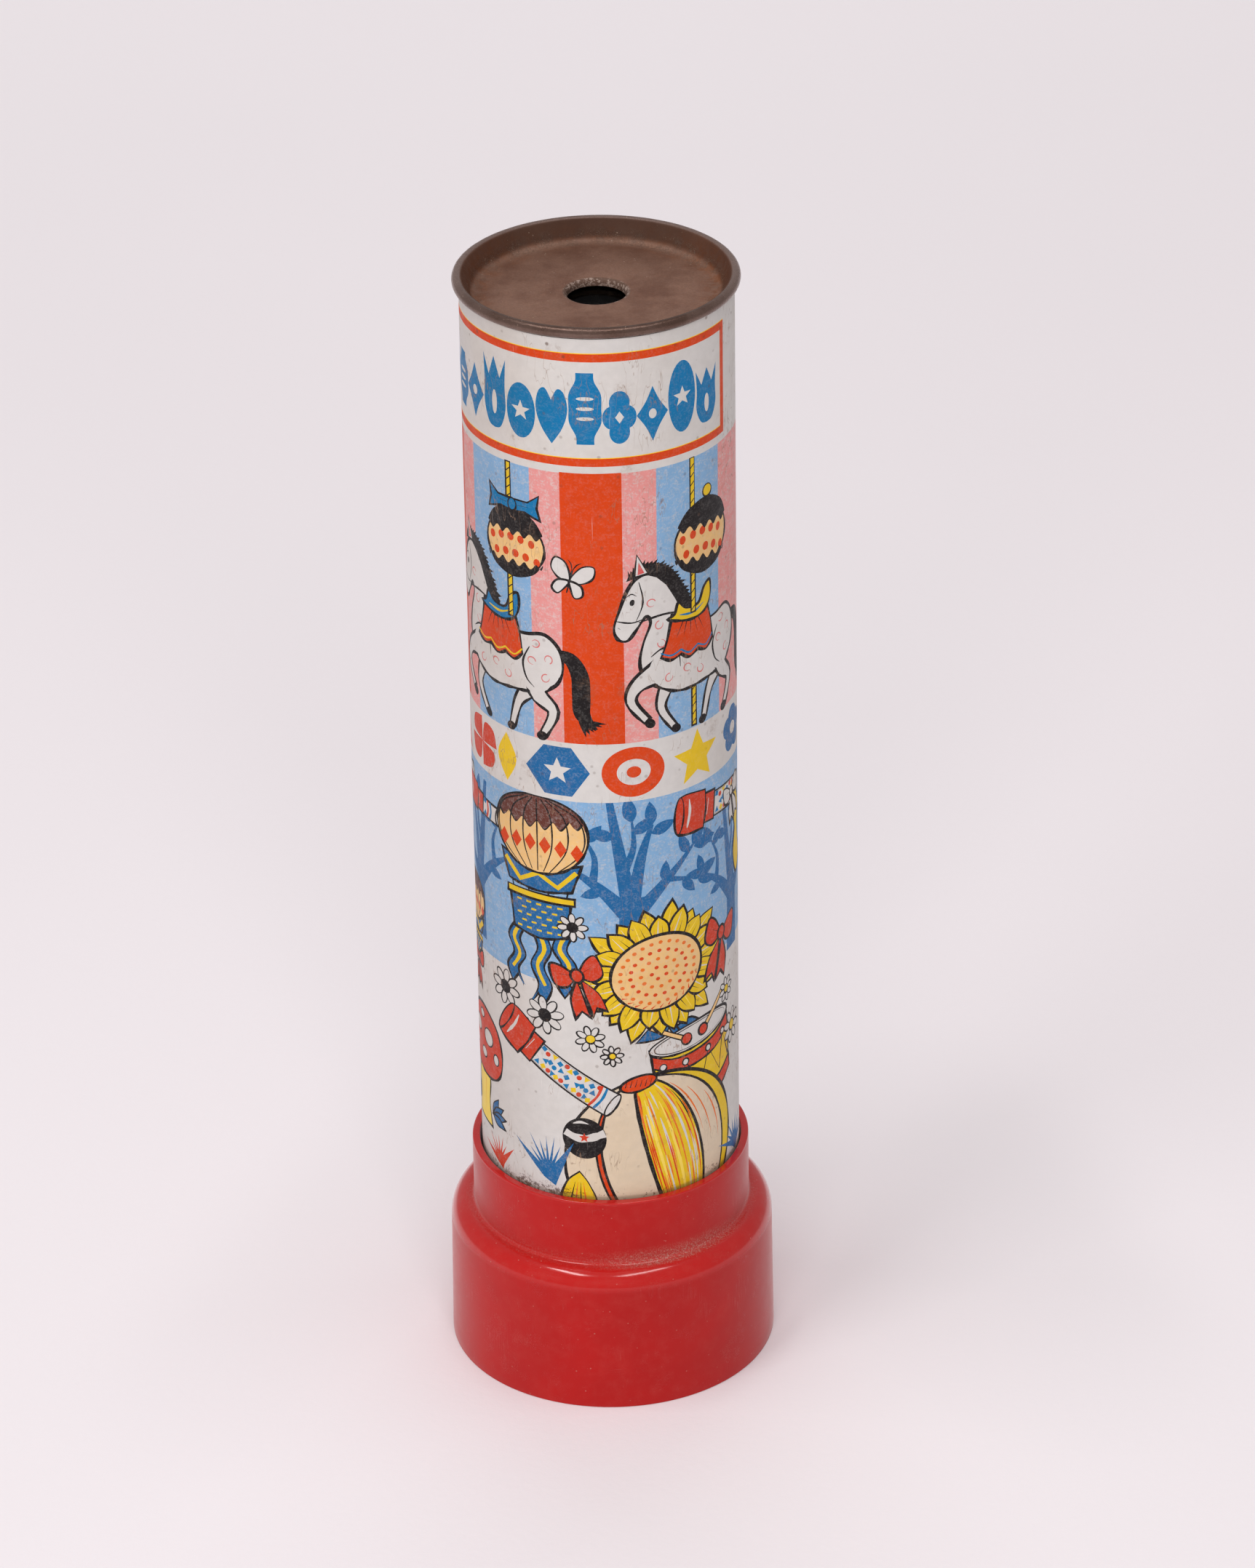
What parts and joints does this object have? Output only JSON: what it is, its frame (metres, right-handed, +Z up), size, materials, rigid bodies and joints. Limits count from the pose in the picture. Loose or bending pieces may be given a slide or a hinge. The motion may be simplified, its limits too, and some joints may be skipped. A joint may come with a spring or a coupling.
{
  "type": "kaleidoscope",
  "caption": "Toy kaleidoscope: printed card tube with a peephole in a rolled tin cap, glass mirrors inside, and a turning stepped plastic end that holds loose coloured pieces.",
  "frame": {"origin": "centre of the base, on the surface that the housing's open end stands on", "axes": "+Z up along the tube's axis, from the turning housing to the peephole; the label's front faces -Y and its paper seam is near +X"},
  "size_m": [0.0586, 0.0586, 0.2089],
  "materials": {
    "aged_tinplate": "thin tinplate, tarnished brown, with rust and dust in its corners",
    "inner_tinplate": "plain tinplate, not weathered",
    "spring_steel": "bright spring wire",
    "label_paper": "coated paper with a screened colour print, scuffed",
    "brown_card": "plain brown card",
    "grey_card": "plain grey packing card",
    "felt": "thin dark felt",
    "mirror_glass": "silvered glass strip",
    "clear_plastic": "clear sheet, polished",
    "frosted_plastic": "frosted sheet that scatters light",
    "red_plastic": "moulded red plastic, semi-gloss, with a dusty bloom",
    "piece_red": "clear tinted plastic chip",
    "piece_blue": "clear tinted plastic chip",
    "piece_yellow": "clear tinted plastic chip",
    "piece_green": "clear tinted plastic chip",
    "piece_orange": "clear tinted plastic chip",
    "piece_violet": "clear tinted plastic chip",
    "piece_clear": "clear tinted plastic chip"
  },
  "bodies": {
    "tube_body": {"eyepiece_cap": "aged_tinplate", "eyepiece_window": "clear_plastic", "eye_disc": "brown_card", "card_tube": "brown_card", "printed_label": "label_paper", "mirror_1": "mirror_glass", "mirror_2": "mirror_glass", "mirror_3": "mirror_glass", "mirror_sleeve": "brown_card", "packing_strip_1": "grey_card", "packing_strip_2": "grey_card", "packing_strip_3": "grey_card", "object_mask": "brown_card", "tube_ferrule": "inner_tinplate", "felt_washer": "felt"},
    "housing_body": {"rotating_housing": "red_plastic", "cell_window": "clear_plastic", "cell_ring": "brown_card", "diffuser_disc": "frosted_plastic", "retaining_ring": "spring_steel"},
    "loose_pieces": {"loose_triangle_1": "piece_red", "loose_bead_2": "piece_green", "loose_tile_3": "piece_clear", "loose_rod_4": "piece_yellow", "loose_hexagon_5": "piece_violet", "loose_triangle_6": "piece_blue", "loose_bead_7": "piece_orange", "loose_tile_8": "piece_red", "loose_rod_9": "piece_green", "loose_hexagon_10": "piece_clear", "loose_triangle_11": "piece_yellow", "loose_bead_12": "piece_violet", "loose_tile_13": "piece_blue", "loose_rod_14": "piece_orange", "loose_hexagon_15": "piece_red", "loose_triangle_16": "piece_green", "loose_bead_17": "piece_clear", "loose_tile_18": "piece_yellow", "loose_rod_19": "piece_violet", "loose_hexagon_20": "piece_blue", "loose_triangle_21": "piece_orange", "loose_bead_22": "piece_red"}
  },
  "joints": [
    {"name": "housing_spin", "type": "hinge", "parent": "tube_body", "child": "housing_body", "pos_m": [0, 0, 0.03], "axis": [0, 0, 1], "continuous": true},
    {"name": "pieces_tumble", "type": "hinge", "parent": "housing_body", "child": "loose_pieces", "pos_m": [0, 0, 0.007], "axis": [0, 0, 1], "continuous": true}
  ]
}
